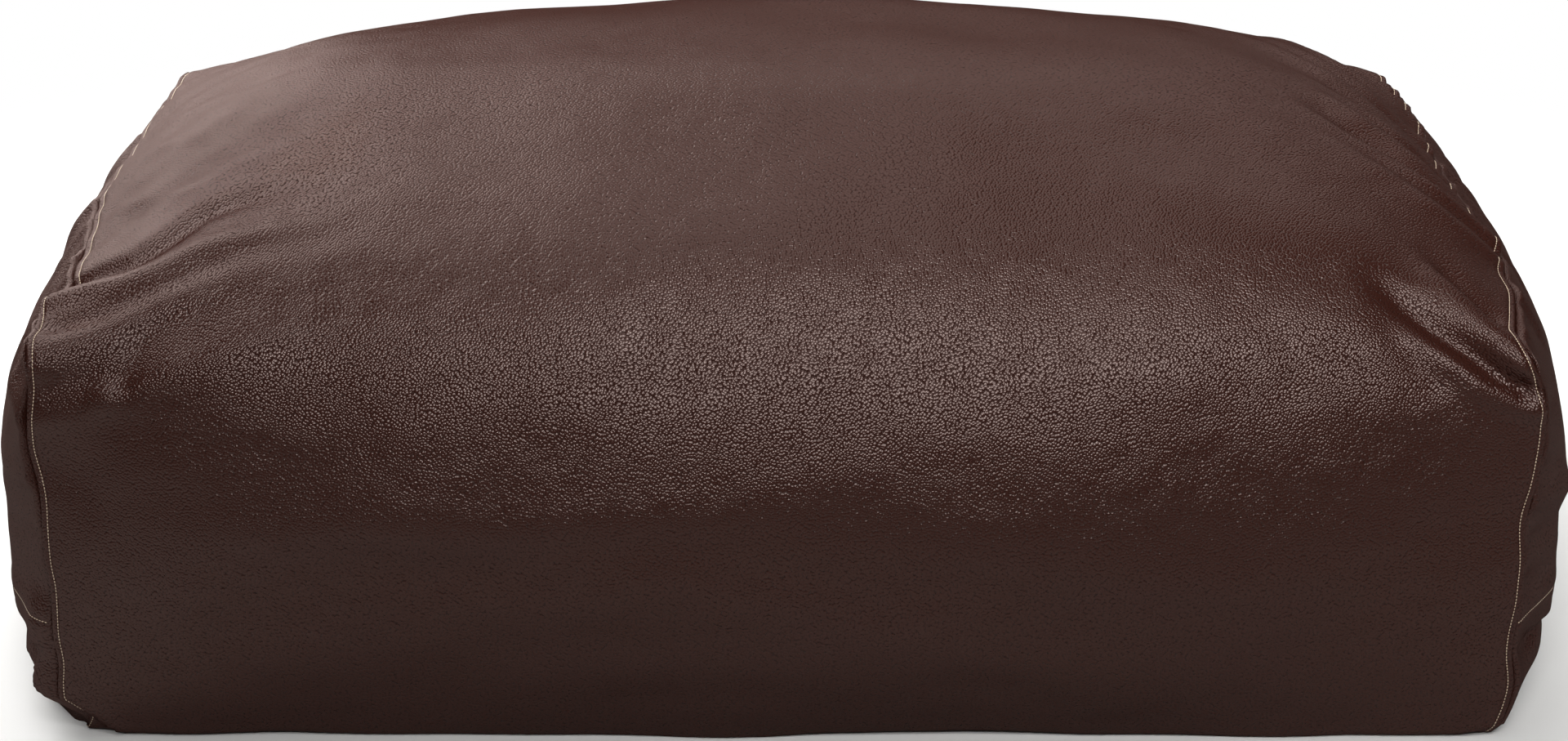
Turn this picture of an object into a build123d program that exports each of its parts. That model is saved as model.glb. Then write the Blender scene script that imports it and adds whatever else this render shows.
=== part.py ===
from build123d import *
import math
import os

# A stuffed rectangular bean bag lounger in leathercloth, with a lapped zip across each end.
# Millimetres. X runs from end to end, Y from front to back, Z up.
# The origin is the middle of the base, on the floor.

# Driving dimensions: the cover
SEAM_SPAN = 1240.0        # between the two end seams
SEAM_DEPTH = 740.0        # front to back along an end seam
SEAM_HEIGHT = 365.0       # floor to a top corner of an end seam
SEAM_RADIUS = 30.0        # rounding of a top corner of an end seam
SEAM_ARCH = 14.0          # how far the top of an end seam rises between its corners
SEAM_SWELL = 1.0          # how far the front of an end seam swells
CROWN_RISE = 165.0        # how far the middle of the top stands above the corners
SHOULDER_RISE = 24.0      # rise of the shoulder line from the ends to the middle
SHOULDER_RADIUS = 260.0   # rounding of the shoulder in the middle
FRONT_SWELL = 66.0        # how far the front and the back swell in the middle
FOOT_RADIUS = 18.0        # rounding where the front and the back turn under
BASE_DEPTH = 690.0        # width of the base panel between the turned-under front and back
LEATHER = 1.2             # thickness of the leathercloth
TURNING = 12.0            # seam allowance, turned under the wrap and stitched down
TURNING_FOOT = 30.0       # height above the floor where that allowance stops

# Driving dimensions: the swollen ends
END_SWELL = 96.0          # how far an end stands out from its seam
END_FOOT = 24.0           # how far it still stands out at the floor
FLANK = 60.0              # width of the steep strip beside a seam
FLANK_SHARE = 0.58        # share of the swell that the steep strip takes
FLANK_RADIUS = 60.0       # rounding from the steep strip into the broad middle

# Driving dimensions: the lap and the zip behind it
LAP_TOP = 115.0           # height of the stitch line that the lap hangs from
LAP_DROP = 25.0           # depth of the lap below its stitch line
LAP_SWELL = 90.0          # how far the lap stands out from the end seam
ZIP_Z = 101.0             # height of the middle of the zip
ZIP_REACH = 280.0         # from the middle of the zip to either stop
ZIP_DEPTH = 9.8           # from the outside of the lap in to the back of the tapes
TAPE = 0.6                # thickness of a zip tape
TAPE_WIDTH = 14.0
TAPE_GAP = 1.3            # from the middle of the zip to the edge of a tape
TAPE_END = 8.0            # length of tape beyond a stop
COIL_HEIGHT = 3.2         # one side of the closed coil
COIL_DEPTH = 2.4
COIL_ROUND = 0.8
HEM_TOP = 95.0            # folded upper edge of the lower end panel
HEM_DROP = 11.0
STOP_LENGTH = 4.0
STOP_SIDE = 2.6           # height of one stop on one tape

# Driving dimensions: a slider, which has a bridge and no pull tab
SLIDER_LENGTH = 12.5
SLIDER_WIDTH = 9.6
SLIDER_NOSE = 8.8         # width of its narrow end
WING = 1.0                # thickness of a wing
LIP = 1.2                 # thickness of the lips that hold the coil in
PLAY = 0.4                # clearance round the coil and the tapes
POST_LENGTH = 2.4         # wedge that parts the coil, between the wings at the wide end
POST_WIDTH = 1.8
BRIDGE_RISE = 2.0
BRIDGE_LENGTH = 8.0
BRIDGE_WIDTH = 2.4
BRIDGE_WALL = 0.7
PARK_GAP = 0.6            # between a parked slider and its stops

# Driving dimensions: what is inside
LINER_GAP = 5.0           # from the outside of the cover in to the liner
LINER = 0.6               # thickness of the liner
LINER_SHORT = 8.0         # how far the liner's long part stops before an end seam

HALF = SEAM_SPAN / 2
BED = SEAM_DEPTH / 2
TOP = SEAM_HEIGHT + SEAM_ARCH
EDGE = BED + SEAM_SWELL
HEM_DEPTH = ZIP_DEPTH - TAPE - 2 * LEATHER
BIG = 3000.0


# The bag between its end seams

def fullness(q):
    """Share of the crown that is left along the bag: 1 in the middle, 0 at the seams."""
    return 1.0 - 0.55 * q ** 2.1 - 0.45 * q ** 8


def section(x, inset=0.0, foot=None):
    """One slice across the bag: flat foot, swelling front and back, crowned top."""
    q = min(1.0, abs(x) / HALF)
    full = fullness(q)
    swell = SEAM_SWELL + (FRONT_SWELL - SEAM_SWELL) * (1.0 - q ** 2.5)
    shoulder = SEAM_HEIGHT + SHOULDER_RISE * full - inset
    crown = TOP + (CROWN_RISE - SEAM_ARCH) * full - inset
    radius = SEAM_RADIUS + (SHOULDER_RADIUS - SEAM_RADIUS) * (1.0 - q ** 3)
    half = BED - inset
    foot = inset if foot is None else foot
    edges = [
        Line((-half, foot), (half, foot)),
        ThreePointArc((half, foot), (half + swell, 0.46 * shoulder), (half, shoulder)),
        ThreePointArc((half, shoulder), (0, crown), (-half, shoulder)),
        ThreePointArc((-half, shoulder), (-half - swell, 0.46 * shoulder), (-half, foot)),
    ]
    face = make_face(edges)
    face = fillet(face.vertices().sort_by(Axis.Y)[:2], FOOT_RADIUS - inset)
    face = fillet(face.vertices().filter_by(lambda v: v.Y > 0.7 * shoulder), radius - inset)
    return Plane.YZ.offset(x) * face


def barrel(inset=0.0, reach=HALF, foot=None):
    """The long part of the bag, lofted through slices that close up near the seams."""
    stations = [-1.0, -0.93, -0.78, -0.48, 0.0, 0.48, 0.78, 0.93, 1.0]
    return loft([section(reach * s, inset, foot) for s in stations])


# The swollen ends

def bow(z, swell, depth=0.0, plane=HALF, chord=EDGE):
    """A flat slice of the right-hand end: steep flanks beside the seam, a broad arc between."""
    side = chord - FLANK
    step = plane + FLANK_SHARE * swell - depth
    foot = chord - depth
    edges = [
        Line((plane, foot), (plane, -foot)),
        Line((plane, -foot), (step, -side)),
        ThreePointArc((step, -side), (plane + swell - depth, 0), (step, side)),
        Line((step, side), (plane, foot)),
    ]
    face = make_face(edges)
    corners = face.vertices().filter_by(lambda v: abs(v.Y) < foot - 1)
    return Plane.XY.offset(z) * fillet(corners, FLANK_RADIUS)


def trimmed(body, inset=0.0, plane=HALF, foot=None):
    """Cut a swollen end to the outline of its seam."""
    outline = section(HALF, inset, foot).moved(Location((plane - HALF, 0, 0)))
    return body & extrude(outline, amount=2 * END_SWELL, dir=(1, 0, 0))


def dome(levels, inset=0.0):
    """An end of the cover, lofted through flat slices; each level has a height and a swell."""
    body = loft([bow(z, swell, depth + inset) for z, swell, depth in levels])
    return trimmed(body, inset)


def strip(depth, thick, z0, z1, reach=BIG):
    """An upright strip that follows the lap, so far in from the outside of the lap."""
    ring = bow(z0, LAP_SWELL, depth) - bow(z0, LAP_SWELL, depth + thick)
    band = extrude(ring, amount=z1 - z0, dir=(0, 0, 1))
    return band & Pos(HALF, 0, 0) * Box(BIG, 2 * reach, BIG)


UPPER = [
    (LAP_TOP, LAP_SWELL, 0),
    (160.0, 0.99 * END_SWELL, 0),
    (215.0, END_SWELL, 0),
    (275.0, 0.79 * END_SWELL, 0),
    (325.0, 0.43 * END_SWELL, 0),
    (SEAM_HEIGHT - 4, 0.13 * END_SWELL, 0),
    (TOP, 3.0, 0),
]
LOWER = [
    (0.0, END_FOOT, 0),
    (30.0, 0.58 * END_SWELL, 0),
    (58.0, 0.76 * END_SWELL, 0),
    (HEM_TOP - HEM_DROP, LAP_SWELL, HEM_DEPTH),
]

# The zip follows one arc in plan, so a slider runs round an upright axis
RISE = (1 - FLANK_SHARE) * LAP_SWELL
ARC_RADIUS = ((EDGE - FLANK) ** 2 + RISE ** 2) / (2 * RISE)
ARC_X = HALF + LAP_SWELL - ZIP_DEPTH + TAPE / 2 - ARC_RADIUS
PARK_Y = ZIP_REACH - STOP_LENGTH - PARK_GAP - SLIDER_LENGTH / 2
PARK_ANGLE = math.degrees(math.asin(PARK_Y / ARC_RADIUS))
COIL_END = PARK_Y + SLIDER_LENGTH / 2 - 1.2 - POST_LENGTH - PLAY


def at_depth(depth):
    """X of a place behind the lap, in the middle of the end."""
    return HALF + LAP_SWELL - depth


def block(depth0, depth1, y0, y1, z0, z1):
    """A small block at the middle of the zip, between two depths behind the lap."""
    size = Box(depth1 - depth0, y1 - y0, z1 - z0)
    return Pos(at_depth((depth0 + depth1) / 2), (y0 + y1) / 2, (z0 + z1) / 2) * size


def along_track(shape, y):
    """Carry a small piece round the zip's axis from the middle of the zip to a place along it."""
    turn = math.degrees(math.asin(y / ARC_RADIUS))
    return shape.rotate(Axis((ARC_X, 0, 0), (0, 0, 1)), turn)


def wing(depth0):
    """A slider's wing: a plate that narrows towards the closed coil."""
    wide = SLIDER_WIDTH / 2
    nose = SLIDER_NOSE / 2
    back = SLIDER_LENGTH / 2
    outline = make_face(Polyline((-back, -nose), (0, -wide), (back, -wide), (back, wide), (0, wide),
                                 (-back, nose), close=True))
    outline = fillet(outline.vertices().sort_by(Axis.X)[:2], 1.5)
    outline = fillet(outline.vertices().sort_by(Axis.X)[-2:], 1.5)
    plate = extrude(Plane((at_depth(depth0), 0, ZIP_Z), (0, 1, 0), (1, 0, 0)) * outline, amount=-WING)
    return plate


def make_slider():
    """Two wings joined by a wedge, lips round the coil, and a bridge without a pull tab."""
    outer_in = ZIP_DEPTH - TAPE - COIL_DEPTH - PLAY
    inner_out = ZIP_DEPTH + PLAY
    back = SLIDER_LENGTH / 2
    body = wing(outer_in - WING) + wing(inner_out)
    body += block(outer_in - WING / 2, inner_out + WING / 2, back - 1.2 - POST_LENGTH, back - 1.2,
                  ZIP_Z - POST_WIDTH / 2, ZIP_Z + POST_WIDTH / 2)
    lip = SLIDER_WIDTH / 2 - LIP
    for low, high in ((-lip - LIP, -lip), (lip, lip + LIP)):
        body += block(outer_in - WING / 2, ZIP_DEPTH - TAPE - PLAY, -0.5, back - 1.6,
                      ZIP_Z + low, ZIP_Z + high)
    arch = block(outer_in - WING - BRIDGE_RISE, outer_in - WING / 2, -BRIDGE_LENGTH / 2,
                 BRIDGE_LENGTH / 2, ZIP_Z - BRIDGE_WIDTH / 2, ZIP_Z + BRIDGE_WIDTH / 2)
    arch = fillet(arch.edges().filter_by(Axis.Z).group_by(Axis.X)[-1], 1.0)
    arch -= block(outer_in - WING - BRIDGE_RISE + BRIDGE_WALL, outer_in - WING,
                  -BRIDGE_LENGTH / 2 + 1.2, BRIDGE_LENGTH / 2 - 1.2, ZIP_Z - BIG, ZIP_Z + BIG)
    body += arch
    return along_track(body, PARK_Y)


def make_coil(z0, z1):
    """One side of the closed coil as a plain rounded bead along its tape."""
    bead = strip(ZIP_DEPTH - TAPE - COIL_DEPTH, COIL_DEPTH, z0, z1, ZIP_REACH - STOP_LENGTH)
    bead = bead & Pos(HALF, COIL_END - BIG / 2, 0) * Box(BIG, BIG, BIG)
    outer = bead.edges().filter_by(lambda e: e.geom_type == GeomType.CIRCLE and e.length > 300)
    far = outer.sort_by(lambda e: e.center().X)[-2:]
    return fillet(far, COIL_ROUND)


def make_stops(y, split):
    """Crimped stops: one on each tape at the closed end, one across both at the other end."""
    depth0 = ZIP_DEPTH - TAPE - COIL_DEPTH
    depth1 = ZIP_DEPTH - TAPE
    spans = [(-STOP_SIDE - TAPE_GAP, STOP_SIDE + TAPE_GAP)]
    if split:
        spans = [(-STOP_SIDE - TAPE_GAP, -TAPE_GAP), (TAPE_GAP, STOP_SIDE + TAPE_GAP)]
    pieces = []
    for low, high in spans:
        clamp = block(depth0, depth1, -STOP_LENGTH / 2, STOP_LENGTH / 2, ZIP_Z + low, ZIP_Z + high)
        clamp = fillet(clamp.edges().group_by(Axis.X)[-1], 0.6)
        pieces.append(along_track(clamp, y))
    return pieces[0] + pieces[1:]


# The cover's long part: the wrap, with its turned-under seam allowances, and the base panel
base_panel = Pos(0, 0, LEATHER / 2) * Box(SEAM_SPAN, BASE_DEPTH, LEATHER)
wrap_panel = barrel() - barrel(LEATHER) - Box(BIG, BASE_DEPTH, 4 * LEATHER)
turning = loft([section(HALF - TURNING, LEATHER / 2), section(HALF, LEATHER / 2)])
turning -= loft([section(HALF - TURNING, 3 * LEATHER), section(HALF, 3 * LEATHER)])
turning &= Pos(HALF, 0, TURNING_FOOT + BIG / 2) * Box(BIG, BIG, BIG)
wrap_panel += turning
wrap_panel += mirror(turning, Plane.YZ)

# The right-hand end: upper panel with its hanging lap, lower panel with its hem
end_panel = dome(UPPER) - dome(UPPER, LEATHER)
end_panel += strip(0, 2 * LEATHER, LAP_TOP - LAP_DROP, LAP_TOP)
tape_top = ZIP_Z + TAPE_GAP + TAPE_WIDTH
tape_foot = ZIP_Z - TAPE_GAP - TAPE_WIDTH
tape_reach = ZIP_REACH + TAPE_END
end_panel += strip(0.8, ZIP_DEPTH - 0.6, tape_top, tape_top + LEATHER, tape_reach)
lower_end_panel = dome(LOWER) - dome(LOWER, LEATHER)
lower_end_panel += strip(HEM_DEPTH, 2 * LEATHER, HEM_TOP - HEM_DROP, HEM_TOP)

# The right-hand zip
upper_tape = strip(ZIP_DEPTH - TAPE, TAPE, ZIP_Z + TAPE_GAP, tape_top, tape_reach)
lower_tape = strip(ZIP_DEPTH - TAPE, TAPE, tape_foot, ZIP_Z - TAPE_GAP, tape_reach)
upper_coil = make_coil(ZIP_Z, ZIP_Z + COIL_HEIGHT)
lower_coil = make_coil(ZIP_Z - COIL_HEIGHT, ZIP_Z)
slider = make_slider()
top_stops = make_stops(ZIP_REACH - STOP_LENGTH / 2, True)
bottom_stop = make_stops(-ZIP_REACH + STOP_LENGTH / 2, False)


# The liner and its fill of beads, which lie on the base

def bag_inside(gap, short, foot):
    """A closed bag inside the cover, drawn in where it passes behind the zips."""
    plane = HALF - short
    levels = [
        (foot, 320.0, 14.0),
        (60.0, 300.0, 48.0),
        (120.0, 300.0, 74.0),
        (165.0, 340.0, 86.0),
        (215.0, 345.0, 90.0),
        (275.0, 345.0, 68.0),
        (325.0, 345.0, 32.0),
        (TOP, 340.0, 4.0),
    ]
    thin = gap - LINER_GAP
    slices = [bow(z, swell - thin, 0, plane, chord - thin) for z, chord, swell in levels]
    end = loft(slices, ruled=True)
    end = trimmed(end, gap, plane, foot)
    return barrel(gap, plane, foot) + end + mirror(end, Plane.YZ)


bead_fill = bag_inside(LINER_GAP + LINER, LINER_SHORT + LINER, LEATHER + LINER)
inner_liner = bag_inside(LINER_GAP, LINER_SHORT, LEATHER) - bead_fill

# One file for each piece; the left-hand end mirrors the right-hand one
RIGHT_HAND = {
    "end_panel": end_panel,
    "lower_end_panel": lower_end_panel,
    "zip_upper_tape": upper_tape,
    "zip_lower_tape": lower_tape,
    "zip_upper_coil": upper_coil,
    "zip_lower_coil": lower_coil,
    "zip_slider": slider,
    "zip_top_stops": top_stops,
    "zip_bottom_stop": bottom_stop,
}
NODES = {
    "wrap_panel": wrap_panel,
    "base_panel": base_panel,
    "inner_liner": inner_liner,
    "bead_fill": bead_fill,
}
for name, shape in RIGHT_HAND.items():
    NODES["right_" + name] = shape
    NODES["left_" + name] = mirror(shape, Plane.YZ)

os.makedirs("parts", exist_ok=True)
for name, shape in NODES.items():
    export_step(shape, "parts/" + name + ".step")
    print(name, len(shape.solids()), "solids", round(shape.volume), "mm3", shape.is_valid)
travel = 2 * PARK_ANGLE
print("slider axis x", round(ARC_X, 3), "radius", round(ARC_RADIUS, 2), "travel", round(travel, 3), "degrees")
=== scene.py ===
import math

import bpy
import numpy as np
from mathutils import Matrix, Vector


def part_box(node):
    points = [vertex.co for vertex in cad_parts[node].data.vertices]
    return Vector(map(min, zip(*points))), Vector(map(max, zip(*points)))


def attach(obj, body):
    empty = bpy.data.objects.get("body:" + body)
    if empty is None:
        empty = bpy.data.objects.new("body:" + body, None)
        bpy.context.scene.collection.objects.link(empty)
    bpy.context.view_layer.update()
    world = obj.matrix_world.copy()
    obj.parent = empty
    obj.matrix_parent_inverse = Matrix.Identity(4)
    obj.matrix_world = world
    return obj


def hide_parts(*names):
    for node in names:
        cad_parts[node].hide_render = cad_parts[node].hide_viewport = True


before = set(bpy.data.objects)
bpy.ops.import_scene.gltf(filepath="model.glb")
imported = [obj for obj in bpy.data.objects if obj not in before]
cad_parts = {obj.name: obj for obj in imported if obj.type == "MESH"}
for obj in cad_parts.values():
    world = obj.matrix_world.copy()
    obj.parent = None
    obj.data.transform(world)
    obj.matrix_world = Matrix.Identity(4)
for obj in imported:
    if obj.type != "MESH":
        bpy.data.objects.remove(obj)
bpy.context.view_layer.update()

bl_info = {
    "name": "Bean bag lounger",
    "version": (1, 0, 0),
    "blender": (4, 5, 0),
    "location": "View3D > Sidebar > Bean bag",
    "description": "Sews, stuffs and stages a rectangular leathercloth bean bag with lapped zips",
    "category": "Object",
}

MM = 0.001


# Values that a user would change

def length_value(name, description, default):
    """A length in metres."""
    return bpy.props.FloatProperty(name=name, description=description, default=default, unit="LENGTH")


def plain_value(name, description, default):
    """A share or a strength, without a unit."""
    return bpy.props.FloatProperty(name=name, description=description, default=default)


def colour_value(name, description, default):
    """A colour as an sRGB hex code."""
    return bpy.props.StringProperty(name=name, description=description + ", sRGB", default=default)


class BagForm(bpy.types.PropertyGroup):
    """Sizes of the stuffed bag"""
    seam_span: length_value("Seam span", "Between the two end seams", 1.24)
    seam_depth: length_value("Seam depth", "Front to back along an end seam", 0.74)
    seam_height: length_value("Seam height", "Floor to a top corner", 0.365)
    seam_arch: length_value("Seam arch", "Rise of an end seam between its corners", 0.014)
    crown_rise: length_value("Crown", "Middle of the top above the corners", 0.163)
    shoulder_rise: length_value("Shoulder rise", "Rise of the shoulder line towards the middle", 0.024)
    shoulder_radius: length_value("Shoulder rounding", "Rounding of the shoulder in the middle", 0.26)
    front_swell: length_value("Front swell", "Swell of the front and the back in the middle", 0.064)
    end_swell: length_value("End swell", "How far an end stands out from its seam", 0.096)
    lap_top: length_value("Lap line", "Height of the stitch line above a zip lap", 0.115)
    lap_drop: length_value("Lap depth", "Depth of a zip lap below its stitch line", 0.025)
    zip_height: length_value("Zip height", "Floor to the middle of a zip", 0.101)
    zip_reach: length_value("Zip reach", "Half the length of a zip's coil", 0.28)


class BagCloth(bpy.types.PropertyGroup):
    """How the cover is stuffed"""
    cell: length_value("Cell", "Cloth cell used while stuffing", 0.010)
    ease: plain_value("Ease", "Share of extra cloth gathered into the seams", 0.05)
    ease_reach: length_value("Ease reach", "How far from a seam the extra cloth reaches", 0.07)
    pressure: plain_value("Pressure", "Push of the beads on the cloth", 3.0)
    frames: bpy.props.IntProperty(name="Frames", description="Steps of the stuffing", default=22)
    cap: length_value("Cap", "Furthest a point may move while stuffing", 0.012)
    folds: plain_value("Folds", "Depth of the folds at the corners, 1 as sewn", 1.0)
    lumps: length_value("Lumps", "Height of the broad lumps of the fill", 0.0018)


class BagSewing(bpy.types.PropertyGroup):
    """Seams, thread and zips"""
    pitch: length_value("Stitch pitch", "From stitch to stitch", 0.003)
    length: length_value("Stitch length", "Thread that shows of one stitch", 0.0023)
    thread: length_value("Thread", "Thickness of the thread", 0.0009)
    draw: length_value("Seam draw", "How deep a seam is drawn in", 0.003)
    coil_pitch: length_value("Coil pitch", "From turn to turn of a zip coil", 0.0016)


class BagLook(bpy.types.PropertyGroup):
    """Colours and grain"""
    leather: colour_value("Leathercloth", "Dark brown face of the leathercloth", "#29130e")
    thread: colour_value("Thread", "Beige top-stitch thread", "#c3ae96")
    zip: colour_value("Zip", "Dark zip tape and coil", "#261b18")
    liner: colour_value("Liner", "Undyed liner cloth", "#d9d6cd")
    beads: colour_value("Beads", "Foamed polystyrene", "#f2f2ef")
    floor: colour_value("Floor", "Pale studio floor", "#e4e3e1")
    grain: length_value("Grain", "Width of one pebble of the grain", 0.0024)


# How the seams wander, in millimetres: place on the seam, then the step along X.
# On a top seam the place is its Y, and on a front or back seam its Z.
WANDER = {
    "left_top": ((-368, -6), (-345, -10), (-325, -4), (-300, -10), (-257, 11), (-220, 3), (-175, 1),
                 (-120, -3), (-50, -8), (60, -4), (190, -1), (270, -2), (368, -4)),
    "left_front": ((0, -7), (30, -9), (42, -11), (56, -11), (71, -5), (90, -10), (156, -5), (163, -8),
                   (202, -8), (233, -6), (272, -15), (335, -7), (365, -6)),
    "left_back": ((0, 0), (60, -6), (130, -2), (200, -8), (270, -4), (330, -9), (365, -4)),
    "right_top": ((-368, -2), (-345, -11), (-318, -4), (-258, 9), (-228, 2), (-180, 12), (-140, 10),
                  (-110, 0), (-25, -3), (75, 3), (180, 2), (270, -1), (368, 2)),
    "right_front": ((0, -3), (9, 3), (20, 8), (33, 10), (55, 14), (84, 6), (107, 8), (138, 10), (175, 10),
                    (205, 6), (221, 8), (240, 13), (277, 16), (290, 17), (328, 12), (365, -2)),
    "right_back": ((0, 0), (50, 5), (120, 8), (190, 3), (260, 9), (325, 4), (365, 2)),
}

# Folds of the wrap, in mm: height, width at the seam, width at the far end, then the line it follows.
FOLDS = (
    (2.0, 17, 29, ((-597, -239, 385), (-536, -242, 417), (-497, -219, 436), (-444, -199, 455))),
    (-5.9, 10, 16, ((-608, -255, 375), (-553, -273, 403), (-520, -253, 419), (-497, -232, 432),
                    (-461, -224, 444), (-404, -222, 455), (-365, -214, 464))),
    (6.5, 12, 20, ((-616, -294, 375), (-556, -302, 395), (-521, -295, 406), (-487, -281, 419),
                   (-441, -271, 431), (-385, -263, 442), (-345, -249, 453))),
    (-5.9, 10, 20, ((-610, -336, 372), (-570, -333, 381), (-531, -319, 395), (-491, -303, 409),
                    (-444, -290, 422), (-411, -290, 427))),
    (3.9, 17, 26, ((-614, -363, 354), (-563, -341, 377), (-518, -326, 393), (-467, -320, 404),
                   (-421, -317, 411))),
    (-4.5, 12, 23, ((-545, -372, 339), (-531, -354, 369), (-518, -345, 379), (-461, -329, 399),
                    (-408, -324, 408))),
    (3.2, 12, 23, ((-560, -376, 327), (-511, -372, 345), (-471, -369, 356), (-424, -359, 374),
                   (-365, -353, 386))),
    (-3.2, 11, 16, ((-614, -371, 333), (-559, -369, 344), (-538, -374, 337))),
    (2.6, 11, 18, ((-618, -373, 303), (-560, -378, 321), (-511, -378, 334))),
    (-3.9, 24, 34, ((-622, -373, 262), (-584, -379, 262), (-553, -385, 258))),
    (1.3, 8, 16, ((-595, -134, 401), (-517, -184, 437), (-454, -182, 457))),
    (1.3, 8, 16, ((-589, -33, 414), (-511, -91, 455), (-421, -94, 482))),
    (1.2, 8, 16, ((-580, 43, 419), (-497, 3, 465), (-404, -7, 492))),
    (9.0, 13, 20, ((608, -365, 351), (583, -342, 373), (565, -317, 387), (545, -283, 403),
                   (518, -269, 415))),
    (-6.0, 11, 15, ((593, -320, 377), (571, -295, 392), (549, -261, 408), (528, -252, 417))),
    (-11.0, 9, 16, ((613, -372, 330), (593, -369, 341), (566, -358, 360), (542, -346, 374),
                    (517, -328, 392), (491, -309, 407), (471, -295, 416))),
    (6.0, 10, 16, ((623, -372, 313), (578, -371, 335), (554, -362, 353), (526, -350, 371),
                   (501, -336, 387))),
    (-3.5, 12, 16, ((539, -373, 340), (517, -361, 362), (497, -343, 383), (474, -328, 398))),
)

# Fixed values of the form. Sizes are in metres.
SEAM_SWELL = 0.001  # what is left of the front's swell at an end seam
SEAM_BEND = 0.03  # what is left of the shoulder's rounding there
SWELL_HEIGHT = 0.46  # where the front stands out most, as a share of the shoulder's height
FOOT_ROUND = 0.018  # rounding of the foot in the middle
FOOT_LOSS = 0.011  # how much of it is lost towards an end seam
TOE_OUT = 0.006  # how far the foot of an end seam stands out
TOE_HEIGHT = 0.12  # height over which that fades
HALF_TURN = 20  # steps from the start of the shoulder's arc to its middle
BOW_KNEE = 0.838  # share of an end's half width at which its steep edge meets its broad middle
BOW_AT_KNEE = 0.58  # share of the swell there
BOW_BLEND = 0.035  # softness of that meeting
PLUMP_WIDTH = 0.012  # distance from the front seam at which a lower corner is plumpest
WRAP_WANDER = 0.06  # how far a seam's wander reaches into the wrap
END_WANDER = 0.05  # how far it reaches into an end
CORNER_X, CORNER_Y = 0.62, 0.37  # the end seams along X, and their front and back along Y

# Each end: side, sign, edge row of the wrap, share of its swell at the foot, plumpness of its lower corner.
END_FEET = (("right", 1, -1, 0.34, 0.0), ("left", -1, 0, 0.70, 0.012))

# How the leathercloth behaves while it is stuffed
CLOTH_FEEL = {
    "quality": 5, "mass": 0.25, "air_damping": 4, "pin_stiffness": 1, "use_pressure": True,
    "tension_stiffness": 40, "compression_stiffness": 40, "shear_stiffness": 15, "bending_stiffness": 25,
    "tension_damping": 15, "compression_damping": 15, "shear_damping": 15, "bending_damping": 8,
}
STUFF_MIDDLE = 0.18  # height about which the cloth is cut fuller, and the inner body's ends narrow
RIPPLE = 0.0003  # unevenness of the cloth before it is stuffed
BROAD_SHARE, BROAD_PASSES = 0.8, 60  # share of the broad movement taken off, and the softening that finds it
FLAT_PUCKERS, PUCKER_REACH = 0.3, 0.2  # share of the puckers kept far from a seam, and their reach

# Tucks of the lower front corners: side, how far it is tucked, and how far its pleat slides along the edge.
TUCKS = ((-1, 1.0, 0.022), (1, 0.35, 0.0))
# Height of a tuck's edge on the end, and how far out the cloth rests below it, each after its place along Y.
TUCK_EDGE = ((-0.37, 0.038), (-0.34, 0.056), (-0.28, 0.052), (-0.2, 0.0))
TUCK_REST = ((-0.37, -0.010), (-0.33, 0.018), (-0.28, 0.055), (-0.2, 0.08))
TUCK_BACK = -0.2  # a tuck ends here along Y
EDGE_SLOPE = 0.85  # fall of its edge along the front, away from the seam

# Seams: rows close to an edge, the row that carries the stitches, and each panel's roll in mm at those rows.
EDGE_STEPS = np.array([0, 1.2, 2.6, 4.2, 5.8, 7.0, 8.2, 10.0, 12.5, 16.0, 20.5, 26.0]) * MM
STITCH_STEP = 5
WRAP_ROLL = (0, 0.5, 1.0, 0.9, 0.3, -0.6, 0.0, 0.5, 0.5, 0.2, 0, 0)
END_ROLL = (0, 0.3, 0.6, 0.6, 0.5, 0.4, 0.3, 0.2, 0.1, 0, 0, 0)
DRAWN = ((0, 1), (1.2, 0.5), (2.6, 0.12), (4.2, 0))  # mm from a seam, and the share of its draw there
LAP_GROOVE = ((0, -0.9), (1.5, -0.3), (3, 0.5), (6, 0.3), (11, 0))  # mm from a lap's stitches, and its relief
LOOP_Y, LOOP_Z = 0.335, 0.33  # inside these a seam's loop is straight, and past them it turns its corners
ALLOWANCE = 0.012  # seam allowance turned inside
STITCH_STAND = 0.3  # share of the thread's thickness by which its middle stands off the cloth
FLOOR_GAP = 0.0003  # lowest the cover may lie
BASE_LIFT = 0.0008  # height of the edges turned in under the base
LAP_ROWS = np.array([0, 1.5, 4, 8, 13, 18, 22.5, 25, 27.5, 31, 36, 42]) * MM  # rows up from a lap's free edge
LAP_STITCH_ROW = 7  # the one that carries the stitches
STRIP_CREASE = ((-3.0, 9, 9, ((-318, 92), (-345, 68), (-366, 40))),)  # fold of a lower end, as in FOLDS
WRAP_STEP, END_STEP, RISE_STEP = 0.0056, 0.006, 0.0055  # spacing of the points away from the seams
LAP_HEM = ((2.6, 9), (2.2, 0.4))  # the lap's edge, turned in behind it: mm inwards, then mm up
STRIP_OVER = 0.007  # how far a strip runs up behind its lap
FOOT_CELLS = 6  # cells of the wrap above each foot edge that get closer points
BASE_POINTS, BASE_FLOOR = (63, 36), 0.0002  # points of the base along X and Y, and its height
# Seams that an end's gathers run in from: start along Y and Z, way in, and length, in mm
END_SEAMS = (((-330, 372), (0, -1), 660), ((-370, 340), (1, 0), 200), ((370, 340), (-1, 0), 200))

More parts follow.
